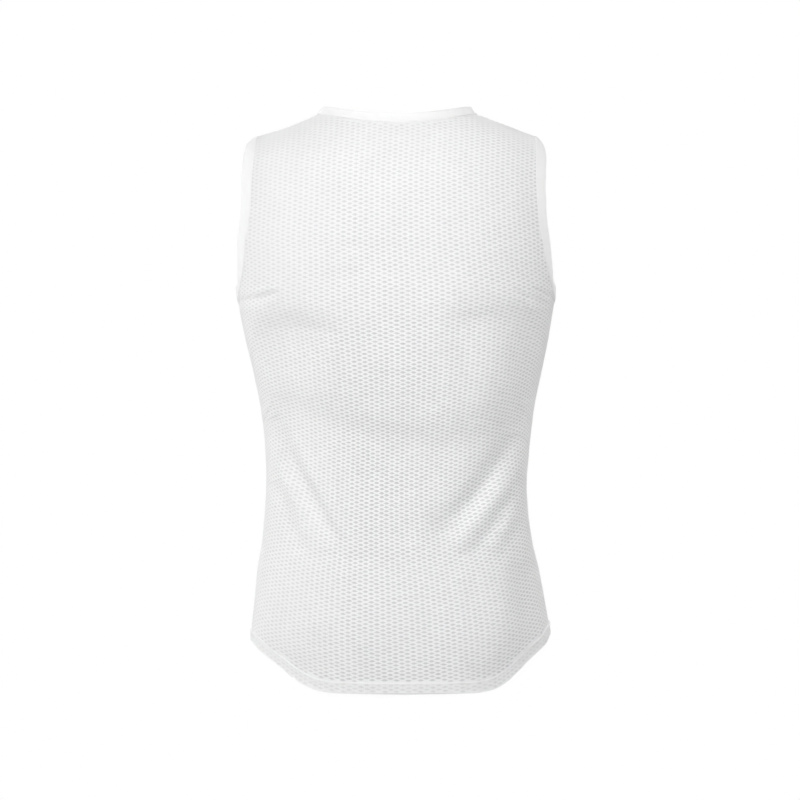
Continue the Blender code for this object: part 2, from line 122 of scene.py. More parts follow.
# Creases of the worn knit, each a line of (x, z) points seen square on, with its depth
# (troughs positive, ridges negative) and its half-widths on its upper and lower sides.
CREASES = {
    "back": (
        # from the wearer's right side into the small of the back
        (((-137, -342), (-129, -357), (-109, -388), (-86, -417), (-61, -437), (-35, -446)), 10.0, 14.0, 13.5),
        (((-131, -380), (-121, -397), (-107, -418), (-86, -445), (-65, -467)), -3.6, 11.0, 9.0),
        (((-132, -409), (-121, -426), (-106, -447), (-86, -476)), 4.4, 8.5, 9.5),
        (((-135, -424), (-121, -451), (-106, -474)), -3.0, 8.0, 7.0),
        (((-137, -440), (-124, -464), (-112, -479)), 2.6, 7.0, 8.0),
        # from the wearer's left side
        (((141, -324), (131, -346), (121, -367), (107, -393), (92, -417), (77, -443), (58, -469)), 7.4, 7.0, 11.0),
        (((131, -375), (121, -401), (109, -426), (98, -459)), -3.8, 8.0, 7.0),
        (((136, -396), (124, -426), (114, -453), (104, -474)), 5.8, 7.0, 9.0),
        # where the back drops into the waist, and where it comes out again
        (((144, -311), (118, -324), (86, -336), (40, -347), (-23, -354), (-68, -354), (-115, -344), (-153, -326)), 6.6, 19.0, 60.0),
        (((154, -304), (124, -311), (88, -314), (52, -311)), 2.6, 12.0, 26.0, 1.0),
        (((-56, -322), (-88, -324), (-120, -323), (-150, -316)), 2.4, 12.0, 26.0, 1.0),
        (((124, -471), (73, -478), (-23, -480), (-81, -478), (-120, -475)), 3.2, 9.0, 12.0),
        # fine wrinkles across the middle
        (((51, -308), (27, -304), (2, -303), (-24, -306), (-50, -313)), 1.3, 3.5, 5.5),
        (((49, -275), (0, -278), (-46, -274)), 0.9, 4.5, 6.0),
        (((22, -512), (-9, -513), (-46, -512)), 0.7, 4.0, 5.0),
        (((29, -527), (-9, -525), (-48, -527)), 0.7, 4.0, 5.0),
        # slack under the armholes' level
        (((160, -224), (136, -228), (112, -231), (84, -234), (58, -235)), 11.5, 17.0, 50.0, 1.2),
        (((-48, -223), (-76, -222), (-102, -221), (-128, -217), (-153, -210)), 9.2, 17.0, 50.0, 1.0),
        # short pulls out of the underarms
        (((184, -195), (165, -193), (156, -193), (144, -190), (130, -185)), 4.6, 1.7, 7.0),
        (((180, -188), (156, -186), (133, -181)), -1.0, 4.0, 3.0),
        (((-128, -184), (-135, -187), (-148, -192), (-156, -194), (-170, -200)), 3.6, 1.8, 3.2),
        (((-150, -182), (-155, -184), (-167, -189), (-184, -194)), 2.2, 1.8, 3.2),
        (((-180, -186), (-164, -182), (-148, -177)), -1.0, 4.0, 3.0),
        # and beside the right armhole
        (((-123, -76), (-138, -67), (-154, -51)), 1.6, 4.0, 4.5),
        (((-126, -101), (-141, -90), (-155, -79)), 1.8, 4.0, 4.5),
        # shallow hollows down the flanks
        (((-150, -204), (-148, -250), (-143, -300), (-136, -345)), 7.5, 18.0, 18.0),
        (((-90, -200), (-96, -260), (-98, -330)), -3.5, 20.0, 20.0),
        (((104, -180), (110, -240), (111, -310), (106, -390)), 1.4, 15.0, 15.0),
        # the hem draws the cloth in at the sides
        (((-166, -574), (-153, -590), (-137, -602), (-116, -610), (-83, -616)), 9.5, 24.0, 24.0, 1.2),
        (((164, -576), (148, -589), (126, -601), (98, -609), (62, -616)), 8.0, 24.0, 24.0, 1.2),
        # soft long folds below the waist
        (((-103, -485), (-111, -526), (-117, -570), (-119, -601)), -4.0, 18.0, 18.0, 1.0),
        (((-136, -464), (-145, -510), (-152, -556), (-155, -600)), 9.0, 19.0, 19.0, 1.0),
        (((112, -486), (122, -530), (128, -580)), 1.2, 12.0, 12.0),
        (((-60, -500), (-66, -545), (-70, -590)), -0.6, 13.0, 13.0),
        (((48, -505), (56, -556), (60, -600)), -0.6, 13.0, 13.0),
    ),
    "front": (
        (((128, -344), (106, -372), (84, -402), (62, -428)), 3.0, 8.0, 8.0),
        (((-130, -338), (-108, -374), (-82, -408), (-58, -436)), 3.2, 8.0, 8.0),
        (((-122, -392), (-104, -424), (-82, -460)), 2.2, 7.0, 7.0),
        (((124, -380), (104, -412), (88, -440)), -2.0, 8.0, 8.0),
        (((180, -196), (160, -190), (138, -178)), 2.4, 2.6, 3.6),
        (((-180, -196), (-158, -191), (-136, -180)), 2.2, 2.6, 3.6),
        (((100, -470), (110, -516), (118, -556)), 1.8, 12.0, 12.0),
        (((-98, -476), (-108, -520), (-112, -560)), 1.6, 12.0, 12.0),
    ),
}

# The knit's own grid.  Wales run up the body and courses round it.  An eyelet stands
# wherever the wale and course numbers add up to an even number.  WALES: how many wales
# lie between the middle and the side seam at each level, PITCH: the height of two
# courses, RISE: how far a course has climbed when it reaches the side seam.  LEFT,
# MIDDLE and RIGHT: how open the eyelets are drawn there, on the wearer's sides, which sets
# their size and also how strong the painted shade in them is; the wearer's left, where
# the key light falls, gets the least painted shade.
KNIT = ("up", "wales", "pitch", "rise", "left", "middle", "right")
KNITS = (
    (-700.0, 36.6, 4.05, 21.0, 0.58, 0.86, 0.80),
    (-640.0, 36.5, 4.05, 21.0, 0.58, 0.86, 0.80),
    (-618.0, 36.5, 4.05, 22.0, 0.58, 0.85, 0.78),
    (-586.0, 36.4, 4.18, 25.0, 0.53, 0.85, 0.78),
    (-547.0, 36.2, 4.30, 27.0, 0.48, 0.83, 0.80),
    (-500.0, 36.0, 4.40, 27.0, 0.50, 0.90, 0.84),
    (-467.0, 35.6, 4.42, 25.0, 0.56, 0.97, 0.94),
    (-430.0, 35.3, 4.40, 22.0, 0.58, 1.00, 1.00),
    (-399.0, 35.2, 4.36, 20.5, 0.60, 1.02, 1.00),
    (-342.0, 35.9, 4.20, 19.5, 0.62, 1.02, 0.94),
    (-286.0, 36.7, 4.40, 16.0, 0.62, 0.97, 0.86),
    (-235.0, 37.5, 4.58, 12.0, 0.58, 0.86, 0.82),
    (-195.0, 37.9, 4.70, 6.0, 0.47, 0.75, 0.78),
    (-160.0, 39.2, 4.80, 3.0, 0.41, 0.69, 0.76),
    (-130.0, 40.1, 4.82, 0.0, 0.39, 0.66, 0.74),
    (-62.0, 41.0, 4.85, -6.0, 0.37, 0.58, 0.72),
    (0.0, 41.0, 4.85, -9.0, 0.32, 0.47, 0.60),
    (150.0, 41.0, 4.85, -12.0, 0.25, 0.38, 0.48),
)
EYELET_WIDTH = 0.44  # half-sizes of an eyelet, in wales and courses
EYELET_HEIGHT = 0.42
KNOT = 0.50  # how far the knit bulges between the eyelets, and dips at their rims
RIM = -0.50


# ---------------------------------------------------------------- curves
def smooth_table(columns, rows, key, name, at):
    """One named column of a table, read at the values `at` of its key column through
    a monotone cubic curve, and held level past its ends."""
    rows = sorted(rows, key=lambda row: row[columns.index(key)])
    knots = np.array([row[columns.index(key)] for row in rows])
    value = np.array([row[columns.index(name)] for row in rows])
    gaps = np.diff(knots)
    slope = np.diff(value) / gaps
    tangent = np.zeros(len(value))
    tangent[0], tangent[-1] = slope[0], slope[-1]
    for k in range(1, len(slope)):
        if slope[k - 1] * slope[k] > 0:
            a, b = 2 * gaps[k] + gaps[k - 1], gaps[k] + 2 * gaps[k - 1]
            tangent[k] = (a + b) / (a / slope[k - 1] + b / slope[k])
    at = np.clip(np.asarray(at, float), knots[0], knots[-1])
    i = np.clip(np.searchsorted(knots, at) - 1, 0, len(gaps) - 1)
    t = (at - knots[i]) / gaps[i]
    return (
        value[i] * (1 + 2 * t) * (1 - t) ** 2
        + tangent[i] * gaps[i] * t * (1 - t) ** 2
        + value[i + 1] * t * t * (3 - 2 * t)
        - tangent[i + 1] * gaps[i] * t * t * (1 - t)
    )


def section(name, z):
    return smooth_table(SECTION, SECTIONS, "z", name, z)


def knit(name, up):
    return smooth_table(KNIT, KNITS, "up", name, up)


def opening_and_shade(across, up):
    """How open the eyelets are at a place on the cloth, which sets their size and the
    strength of their painted shade: less painted shade on the wearer's left, where the key
    light falls, and less towards the side seams, where the hollows are seen edge-on.
    """
    middle = knit("middle", up)
    to_left = smooth_step(0.12, 0.58, across)
    to_right = smooth_step(0.10, 0.50, -across)
    level = middle + (knit("left", up) - middle) * to_left + (knit("right", up) - middle) * to_right
    return level * (1 - 0.35 * smooth_step(0.72, 1.0, np.abs(across)))


def quarter(half, depth, power, count=400):
    angle = np.linspace(0, np.pi / 2, count)
    x = half * np.sin(angle) ** (2 / power)
    y = depth * np.cos(angle) ** (2 / power)
    x[-1], y[-1] = half, 0.0
    return x, y, np.concatenate([[0], np.cumsum(np.hypot(np.diff(x), np.diff(y)))])


def shoulder_z(x):
    sag = SHOULDER_DIP * np.sin(np.pi * np.clip((x - 70.0) / 95.0, 0, 1)) ** 2
    x = np.abs(x)
    dome = NECK_PEAK_Z - (NECK_PEAK_Z - SHOULDER_NECK_Z) * (x / SHOULDER_NECK_X) ** 1.35
    seam = SHOULDER_NECK_Z - SHOULDER_SLOPE * (x - SHOULDER_NECK_X)
    round_off = 5.0 * (np.clip(x - SHOULDER_TIP_X, 0, None) / 14.0) ** 2.2
    return np.where(x < SHOULDER_NECK_X, dome, seam) - round_off - sag


def neck_z(side, x):
    share = np.clip(np.abs(x) / SHOULDER_NECK_X, 0, 1)
    if side == "back":
        return NECK_BACK_Z + (SHOULDER_NECK_Z - NECK_BACK_Z) * share**1.9
    return NECK_FRONT_Z + (SHOULDER_NECK_Z - NECK_FRONT_Z) * share**2.3


def hem_z(side, x, z):
    away = (x - section("lean", z) + HEM_SHIFT) / section("half", z)
    lowest = HEM_BACK_Z if side == "back" else HEM_FRONT_Z
    rise = smooth_table(HEM, HEM_EDGE, "share", "rise", np.abs(away))
    end = HEM_SIDE_Z - HEM_LEAN * np.sign(away)
    return lowest + (end - lowest) * rise


def smooth_step(low, high, value):
    t = np.clip((value - low) / (high - low), 0, 1)
    return t * t * (3 - 2 * t)


def unit(vectors):
    return vectors / np.maximum(np.linalg.norm(vectors, axis=-1, keepdims=True), 1e-9)


def through(points, count):
    """A smooth curve through the points, as count points in even steps of its
    parameter (Catmull-Rom)."""
    p = np.asarray(points, float)
    p = np.vstack([2 * p[0] - p[1], p, 2 * p[-1] - p[-2]])
    t = np.linspace(0, len(p) - 3 - 1e-9, count)
    i = t.astype(int)
    t = (t - i)[:, None]
    a, b, c, d = p[i], p[i + 1], p[i + 2], p[i + 3]
    return 0.5 * (
        2 * b + (c - a) * t + (2 * a - 5 * b + 4 * c - d) * t**2 + (3 * b - a - 3 * c + d) * t**3
    )


# ---------------------------------------------------------------- the worn form
class Form:
    """One side of the worn form, on a fine grid.  across runs from -1 at the wearer's
    right side seam to 1 at the left one, and up is the height, or above CLOSE_Z the
    distance along the cloth on its way over the shoulder."""

    EDGE = 1.08  # the grid runs on past the side seams
    UP_LOW, UP_HIGH, UP_STEP = -700.0, 170.0, 1.0
    STEP = 0.005

    def __init__(self, side):
        self.side = side
        self.sign = 1.0 if side == "back" else -1.0
        self.power = CLOSE_BACK if side == "back" else CLOSE_FRONT
        x, y, along = quarter(
            section("half", CLOSE_Z), section(side, CLOSE_Z), section("square", CLOSE_Z)
        )
        self.top_x, self.top_y, self.top_share = x, y, along / along[-1]
        self.top_length = along[-1]
        self.across = np.arange(-self.EDGE, self.EDGE + 1e-9, self.STEP)
        self.up = np.arange(self.UP_LOW, self.UP_HIGH + 1e-9, self.UP_STEP)
        self.plain = self.make_grid()
        normal = self.normals(self.plain)
        move = self.crease_field(self.plain[..., 0], self.plain[..., 2]) * self.clear_of_seams()
        self.grid = self.plain + normal * move[..., None]
        self.normal = self.normals(self.grid)
        lean = section("lean", np.minimum(self.up, CLOSE_Z))[:, None]
        half = section("half", np.minimum(self.up, CLOSE_Z))[:, None]
        self.share = np.abs(self.plain[..., 0] - lean) / half
        self.tops = np.array([self.top(np.clip(a, -1, 1)) for a in self.across])

    def over(self, across):
        x = np.sign(across) * np.interp(abs(across), self.top_share, self.top_x)
        depth = np.interp(abs(across), self.top_share, self.top_y)
        angle = np.linspace(0, np.pi / 2, 300)
        y = depth * np.cos(angle) ** (2 / self.power)
        y[-1] = 0.0
        z = CLOSE_Z + (shoulder_z(x) - CLOSE_Z) * np.sin(angle) ** (2 / self.power)
        along = np.concatenate([[0], np.cumsum(np.hypot(np.diff(y), np.diff(z)))])
        return x, y, z, CLOSE_Z + along

    def top(self, across):
        return self.over(across)[3][-1]

    def at_height(self, across, z):
        _, _, height, up = self.over(across)
        return z if z < CLOSE_Z else np.interp(z, height, up)

    def across_at(self, x):
        return np.interp(x, self.top_x, self.top_share)

    def make_grid(self):
        across = np.clip(self.across, -1, 1)
        beyond = np.abs(self.across) - np.abs(across)
        sign = np.where(self.across < 0, -1.0, 1.0)
        grid = np.zeros((len(self.up), len(self.across), 3))
        self.lengths = np.zeros(len(self.up))
        for i, up in enumerate(self.up):
            z = min(up, CLOSE_Z)
            x, y, along = quarter(
                section("half", z), section(self.side, z), section("square", z)
            )
            self.lengths[i] = along[-1]
            if up <= CLOSE_Z:
                share = along / along[-1]
                grid[i, :, 0] = sign * np.interp(np.abs(across), share, x) + section("lean", z)
                depth = np.interp(np.abs(across), share, y) - beyond * along[-1]
                grid[i, :, 1] = self.sign * depth
                grid[i, :, 2] = up
        high = self.up > CLOSE_Z
        ups = self.up[high]
        for j, a in enumerate(across):
            x, ys, zs, along = self.over(a)
            past = np.clip(ups - along[-1], 0, None)
            y = np.interp(ups, along, ys) - past
            z = np.interp(ups, along, zs)
            t = np.clip((z - LEAN_END_Z) / -LEAN_END_Z, 0, 1)
            lean = section("lean", CLOSE_Z) * (1 - t * t * (3 - 2 * t))
            grid[high, j, 0] = x + lean
            grid[high, j, 1] = self.sign * (y - beyond[j] * self.lengths[-1])
            grid[high, j, 2] = z
        return grid

    def normals(self, grid):
        right = np.gradient(grid, axis=1)
        upward = np.gradient(grid, axis=0)
        return unit(np.cross(right, upward) * -self.sign)

    def clear_of_seams(self):
        """0 on the side seams and along the armholes, and 1 a little way in."""
        places = self.flat(self.across[None, :], self.up[:, None] + 0 * self.across)
        share = smooth_step(0.0, 24.0, (1 - np.abs(self.across)) * self.lengths[:, None])
        for sign in (1, -1):
            line = self.flat(*armhole_points(self, sign, 0.0, 80))
            gap = np.full(places.shape[:2], 1e9)
            for point in line:
                gap = np.minimum(gap, np.linalg.norm(places - point, axis=-1))
            share = share * smooth_step(2.0, 6.5, gap)
        return share

    def crease_field(self, x, z):
        """How far the creases move the cloth out at the places (x, z)."""
        moved = np.zeros_like(x)
        for points, depth, above, below, *ends in CREASES[self.side]:
            line = through(points, 48)
            reach = 3.0 * max(above, below)
            near = (
                (x > line[:, 0].min() - reach)
                & (x < line[:, 0].max() + reach)
                & (z > line[:, 1].min() - reach)
                & (z < line[:, 1].max() + reach)
            )
            px, pz = x[near], z[near]
            gap = np.full(px.shape, 1e9)
            share, over = np.zeros(px.shape), np.zeros(px.shape)
            for k, (lx, lz) in enumerate(line):
                d = np.hypot(px - lx, pz - lz)
                closer = d < gap
                gap[closer], share[closer] = d[closer], k / 47
                over[closer] = pz[closer] - lz
            fade = np.sin(np.pi * np.clip(share, 0.0, 1.0)) ** (ends[0] if ends else 0.55)
            width = np.where(over > 0, above, below)
            moved[near] -= depth * fade * np.exp(-((gap / width) ** 2))
        return moved

    def sample(self, field, across, up):
        """A field on the grid, read between its points."""
        across, up = np.asarray(across, float), np.asarray(up, float)
        j = np.clip((across + self.EDGE) / self.STEP, 0, len(self.across) - 1.001)
        i = np.clip((up - self.UP_LOW) / self.UP_STEP, 0, len(self.up) - 1.001)
        j0, i0 = j.astype(int), i.astype(int)
        fj, fi = j - j0, i - i0
        if field.ndim == 3:
            fj, fi = fj[..., None], fi[..., None]
        return (
            field[i0, j0] * (1 - fi) * (1 - fj)
            + field[i0 + 1, j0] * fi * (1 - fj)
            + field[i0, j0 + 1] * (1 - fi) * fj
            + field[i0 + 1, j0 + 1] * fi * fj
        )

    def place(self, across, up, out=0.0):
        """Points on the creased form, moved out along its normal."""
        p = self.sample(self.grid, across, up)
        n = unit(self.sample(self.normal, across, up))
        out = np.asarray(out, float)
        return p + n * (out[..., None] if out.ndim else out), n

    def length(self, up):
        return np.interp(up, self.up, self.lengths)

    def flat(self, across, up):
        """The place (across, up) as distances along the cloth."""
        return np.stack([across * self.length(up), up], axis=-1)


def armhole_points(form, sign, inset, count):
    """The armhole seam from the underarm to the shoulder, as (across, up), moved into
    the panel by inset."""
    tip = form.across_at(SHOULDER_TIP_X)
    top = form.top(sign * tip) - UNDERARM_Z
    above = np.linspace(0, 1, 900) ** 2.2 * top
    cut = smooth_table(ARMHOLE, ARMHOLES, "above", form.side, above)
    wide = form.length(UNDERARM_Z + above)
    cut *= 1 + ((1 - tip) * wide[-1] / cut[-1] - 1) * above / top
    along = np.concatenate([[0], np.cumsum(np.hypot(np.diff(cut), np.diff(above)))])
    even = np.linspace(0, 1, count) * along[-1]
    c, a, w = (np.interp(even, along, v) for v in (cut, above, wide))
    dc, da = np.gradient(c), np.gradient(a)
    dc[0], da[0] = 1.0, 0.0
    size = np.hypot(dc, da)
    c, a = c + inset * da / size, a - inset * dc / size
    c[0] += inset
    return sign * (1 - c / w), UNDERARM_Z + a


def neck_points(form, sign, inset, count):
    """The neck seam from the centre to a shoulder, as (across, up), moved into the
    panel by inset."""
    limit = sign * form.across_at(SHOULDER_NECK_X)
    across = limit * np.sin(np.linspace(0, np.pi / 2, 240))
    up = np.array([form.at_height(a, neck_z(form.side, form.over(a)[0])) for a in across])
    places = form.sample(form.plain, across, up)
    steps = np.linalg.norm(np.diff(places, axis=0), axis=1)
    along = np.concatenate([[0], np.cumsum(steps)])
    even = np.linspace(0, 1, count) * along[-1]
    a, u = np.interp(even, along, across), np.interp(even, along, up)
    da, du = np.gradient(a * form.top_length), np.gradient(u)
    da[0], du[0] = sign, 0.0
    size = np.hypot(da, du) * sign
    a, u = a + inset * du / size / form.top_length, u - inset * da / size
    a[0] = 0.0
    return a, u


def hem_up(form, across):
    """The value of up at the lower edge."""
    up = np.full(np.shape(across), -600.0)
    for _ in range(5):
        up = hem_z(form.side, form.sample(form.plain, across, up)[..., 0], up)
    return up


def hem_seam(form, across):
    """The value of up at the hem's stitch line."""
    low, high = np.maximum(across - 0.02, -1.0), np.minimum(across + 0.02, 1.0)
    slope = (hem_up(form, high) - hem_up(form, low)) / ((high - low) * form.length(-600.0))
    return hem_up(form, across) + HEM_BAND * np.hypot(1, slope)


# ---------------------------------------------------------------- the knit's grid
COURSE_UP = np.arange(-740.0, 180.1, 1.0)
COURSE_NUMBER = np.concatenate([[0], np.cumsum(2.0 / knit("pitch", COURSE_UP[:-1] + 0.5))])


def on_cloth(form, wale, course):
    """(across, up) of a place on the knit's grid."""
    level = np.interp(course, COURSE_NUMBER, COURSE_UP)
    across = wale / knit("wales", level)
    share = form.sample(form.share, np.clip(across, -1.08, 1.08), level)
    up = level + knit("rise", level) * share**2.5
    return wale / knit("wales", up), up


def outline(form, parts):
    """A closed outline on the flat cloth from its parts, each (across, up)."""
    return np.vstack([form.flat(np.asarray(a, float), np.asarray(u, float)) for a, u in parts])


def signed_distance(points, polygon):
    """Distance from each point to the polygon's edge, positive inside."""
    a, b = polygon, np.roll(polygon, -1, axis=0)
    edge = b - a
    size = np.maximum((edge**2).sum(axis=1), 1e-12)
    out = np.empty(len(points))
    for k in range(0, len(points), 8000):
        p = points[k : k + 8000, None, :]
        t = np.clip(((p - a) * edge).sum(axis=2) / size, 0, 1)
        near = np.sqrt((((a + t[..., None] * edge) - p) ** 2).sum(axis=2).min(axis=1))
        py = p[..., 1]
        crosses = (a[:, 1] > py) != (b[:, 1] > py)
        rise = np.where(np.abs(edge[:, 1]) < 1e-12, 1e-12, edge[:, 1])
        at = a[:, 0] + (py - a[:, 1]) * edge[:, 0] / rise
        inside = (crosses & (p[..., 0] < at)).sum(axis=1) % 2 == 1
        out[k : k + 8000] = np.where(inside, near, -near)
    return out


# An eyelet is the diamond between four knots of the net: its rim of six points, the
# eight outer points that it shares with its neighbours, and the faces between them.
LENS = np.array([(1, 0), (0.44, 0.9), (-0.44, 0.9), (-1, 0), (-0.44, -0.9), (0.44, -0.9)])
DIAMOND = np.array([(2, 0), (1, 1), (0, 2), (-1, 1), (-2, 0), (-1, -1), (0, -2), (1, -1)])
# (rim or outer, number) of each corner
NET = (
    ((0, 0), (1, 7), (1, 0)),
    ((0, 0), (1, 0), (1, 1)),
    ((0, 0), (1, 1), (0, 1)),
    ((0, 1), (1, 1), (1, 2)),
    ((0, 1), (1, 2), (0, 2)),
    ((0, 2), (1, 2), (1, 3)),
    ((0, 2), (1, 3), (0, 3)),
    ((0, 3), (1, 3), (1, 4)),
    ((0, 3), (1, 4), (1, 5)),
    ((0, 3), (1, 5), (0, 4)),
    ((0, 4), (1, 5), (1, 6)),
    ((0, 4), (1, 6), (0, 5)),
    ((0, 5), (1, 6), (1, 7)),
    ((0, 5), (1, 7), (0, 0)),
    ((0, 0), (0, 1), (0, 5)),
    ((0, 1), (0, 2), (0, 5)),
    ((0, 2), (0, 4), (0, 5)),
    ((0, 2), (0, 3), (0, 4)),
)


def mesh_knit(form, polygon, plain_within, seed, reach, size=1.0):
    """The knit inside a polygon on the flat cloth: a net of diamond cells, each round
    one eyelet, closed by a floor sunk behind the rest and painted grey as painted shade
    for the hollow of the open eyelet.  Returns wale, course, relief, how much of that
    painted shade each point takes with how strong it is there, and triangles."""
    rng = np.random.default_rng(seed)
    low, high = polygon[:, 1].min() - 34, polygon[:, 1].max() + 16
    first = int(np.interp(low, COURSE_UP, COURSE_NUMBER))
    last = int(np.interp(high, COURSE_UP, COURSE_NUMBER)) + 1
    wales, courses = np.meshgrid(np.arange(-47, 48), np.arange(first, last))
    wales, courses = wales.ravel(), courses.ravel()
    even = (wales + courses) % 2 == 0
    wales, courses = wales[even], courses[even]
    across, up = on_cloth(form, wales, courses)
    gap = signed_distance(form.flat(across, up), polygon)
    keep = gap > -reach
    wales, courses, gap = wales[keep], courses[keep], gap[keep]
    count = len(wales)

    # outer points, shared between cells
    p = 2 * wales[:, None] + DIAMOND[:, 0] + 400
    q = 2 * courses[:, None] + DIAMOND[:, 1] + 40
    key = p * 100000 + q
    unique, inverse = np.unique(key, return_inverse=True)
    inverse = inverse.reshape(key.shape)
    outer_wale = (unique // 100000 - 400) / 2
    outer_course = (unique % 100000 - 40) / 2
    corner = np.abs(outer_wale - np.round(outer_wale)) < 0.1
    outer_relief = np.where(corner, KNOT, KNOT * 0.3) * (1 + rng.normal(0, 0.12, len(unique)))

    # the rim of each eyelet, no two quite alike
    width = EYELET_WIDTH * size * (1 + rng.normal(0, 0.07, count))
    height = EYELET_HEIGHT * size * (1 + rng.normal(0, 0.10, count))
    shift_w = rng.normal(0, 0.035, count)
    shift_c = rng.normal(0, 0.045, count)
    tilt = rng.normal(0, 0.10, count)
    paint = opening_and_shade(across[keep], up[keep])
    # over the shoulders the knit lies stretched and closed
    over = np.interp(across[keep], form.across, form.tops) - up[keep]
    paint = paint * (0.06 + 0.94 * smooth_step(14.0, 66.0, over))
    level = np.clip(paint, 0.05, 1.1) ** 0.5
    width, height = width * level**0.6, height * level**0.6
    rim_wale = wales[:, None] + shift_w[:, None] + width[:, None] * LENS[:, 0]
    rim_course = (
        courses[:, None]
        + shift_c[:, None]
        + height[:, None] * LENS[:, 1]
        + tilt[:, None] * LENS[:, 0] * 0.5
    )
    sunk = smooth_step(plain_within - 1.0, plain_within + 1.0, gap) * level
    # each eyelet's painted shade a little stronger or weaker at random
    paint = np.clip(paint * (1 + rng.normal(0, 0.06, count)), 0, 1.2)
    rim_relief = RIM * sunk[:, None] * np.array([0.8, 1.05, 1.05, 0.8, 1.05, 1.05])

    wale = np.concatenate([outer_wale, rim_wale.ravel()])
    course = np.concatenate([outer_course, rim_course.ravel()])
    relief = np.concatenate([outer_relief, rim_relief.ravel()])
    # the rim points take the floor's painted shade, except next to the panel's edges
    mask = smooth_step(plain_within - 1.0, plain_within + 1.0, gap)
    eyelet_shade = np.stack(
        [
            np.concatenate([np.zeros(len(unique)), np.repeat(mask, 6)]),
            np.concatenate([opening_and_shade(*on_cloth(form, outer_wale, outer_course)), np.repeat(paint, 6)]),
        ],
        axis=1,
    )
    rim = len(unique) + np.arange(count * 6).reshape(count, 6)
    both = (rim, inverse)
    triangles = [np.stack([both[kind][:, k] for kind, k in face], axis=1) for face in NET]
    return wale, course, relief, eyelet_shade, np.concatenate(triangles)


def clip(arrays, triangles, keep):
    """Cuts triangles where keep falls through 0; arrays are read at the new points."""
    inside = keep > 0
    state = inside[triangles].sum(axis=1)
    whole = triangles[state == 3]
    new_edges, made = [], []
    for wanted in (1, 2):
        part = triangles[state == wanted]
        if not len(part):
            continue
        lone = inside[part] == (wanted == 1)  # the corner that is alone on its side
        turn = np.argmax(lone, axis=1)
        rows = np.arange(len(part))
        a = part[rows, turn]
        b = part[rows, (turn + 1) % 3]
        c = part[rows, (turn + 2) % 3]
        made.append((wanted, a, b, c))
        new_edges.append(np.stack([a, b], axis=1))
        new_edges.append(np.stack([a, c], axis=1))
    base = len(keep)
    if new_edges:
        edges = np.sort(np.concatenate(new_edges), axis=1)
        unique, inverse = np.unique(edges, axis=0, return_inverse=True)
        inverse = inverse.ravel()
        ka, kb = keep[unique[:, 0]], keep[unique[:, 1]]
        t = ka / (ka - kb)
        grown = []
        for array in arrays:
            shape = t if array.ndim == 1 else t[:, None]
            mix = array[unique[:, 0]] * (1 - shape) + array[unique[:, 1]] * shape
            grown.append(np.concatenate([array, mix]))
        arrays = grown
        pieces, start = [whole], 0
        for wanted, a, b, c in made:
            ab = base + inverse[start : start + len(a)]
            ac = base + inverse[start + len(a) : start + 2 * len(a)]
            start += 2 * len(a)
            if wanted == 1:
                pieces.append(np.stack([a, ab, ac], axis=1))
            else:
                pieces.append(np.stack([ab, b, c], axis=1))
                pieces.append(np.stack([ab, c, ac], axis=1))
        whole = np.concatenate(pieces)
    used, inverse = np.unique(whole, return_inverse=True)
    return [array[used] for array in arrays], inverse.reshape(whole.shape)


# ---------------------------------------------------------------- mesh objects
class Build:
    """Gathers the points, faces, UVs and material numbers of one object."""

    def __init__(self):
        self.points, self.faces, self.uvs, self.slots, self.count = [], [], [], [], 0
        self.eyelet_shade = []

    def add(self, points, faces, uv, slot=0, eyelet_shade=0.0):
        points = np.asarray(points, float).reshape(-1, 3)
        faces = np.asarray(faces, int)
        self.points.append(points)
        self.uvs.append(np.asarray(uv, float).reshape(-1, 2))
        self.faces.append(faces + self.count)
        self.slots.append(np.full(len(faces), slot))
        self.eyelet_shade.append(np.zeros((len(points), 2)) + eyelet_shade)
        self.count += len(points)

    def make(self, name, materials):
        mesh = bpy.data.meshes.new(name)
        points = np.concatenate(self.points) * MM
        faces = [f for group in self.faces for f in group.tolist()]
        mesh.from_pydata(points.tolist(), [], faces)
        mesh.update()
        uv = np.concatenate(self.uvs)
        layer = mesh.uv_layers.new(name="Cloth")
        loops = np.empty(len(mesh.loops), dtype=np.int32)
        mesh.loops.foreach_get("vertex_index", loops)
        layer.data.foreach_set("uv", uv[loops].astype(np.float32).ravel())
        # per point: how much of the eyelet floors' painted shade it takes, and how strong that painted shade is
        # there
        values = np.concatenate(self.eyelet_shade).astype(np.float32)
        for k, word in enumerate(("eyelet_shade", "eyelet_shade_strength")):
            field = mesh.attributes.new(word, "FLOAT", "POINT")
            field.data.foreach_set("value", np.ascontiguousarray(values[:, k]))
        for material in materials:
            mesh.materials.append(material)
        mesh.polygons.foreach_set(
            "material_index", np.concatenate(self.slots).astype(np.int32)
        )
        mesh.polygons.foreach_set("use_smooth", np.ones(len(mesh.polygons), dtype=bool))
        mesh.update()
        thing = bpy.data.objects.new(name, mesh)
        bpy.context.scene.collection.objects.link(thing)
        return thing


def strip(rows, flip=False, closed=True):
    """Quads between rows of points, each row a loop if closed, with (along, across)
    distances as UVs in millimetres."""
    rows = np.asarray(rows, float)
    high, wide = rows.shape[:2]
    middle = rows[high // 2]
    steps = np.linalg.norm(np.roll(middle, -1, axis=0) - middle, axis=1)
    along = np.concatenate([[0], np.cumsum(steps)[:-1]])
    if closed:
        rows = np.concatenate([rows, rows[:, :1]], axis=1)
        along = np.append(along, steps.sum())
        wide += 1
    over = np.linalg.norm(np.diff(rows, axis=0), axis=2).mean(axis=1)
    across = np.concatenate([[0], np.cumsum(over)])
    uv = np.stack(np.meshgrid(along, across), axis=2)
    i, j = np.meshgrid(np.arange(high - 1), np.arange(wide - 1), indexing="ij")
    i, j = i.ravel(), j.ravel()
    quads = np.stack(
        [i * wide + j, i * wide + j + 1, (i + 1) * wide + j + 1, (i + 1) * wide + j], axis=1
    )
    if flip:
        quads = quads[:, ::-1]
    return rows, quads, uv


STITCH_ROUND = 5


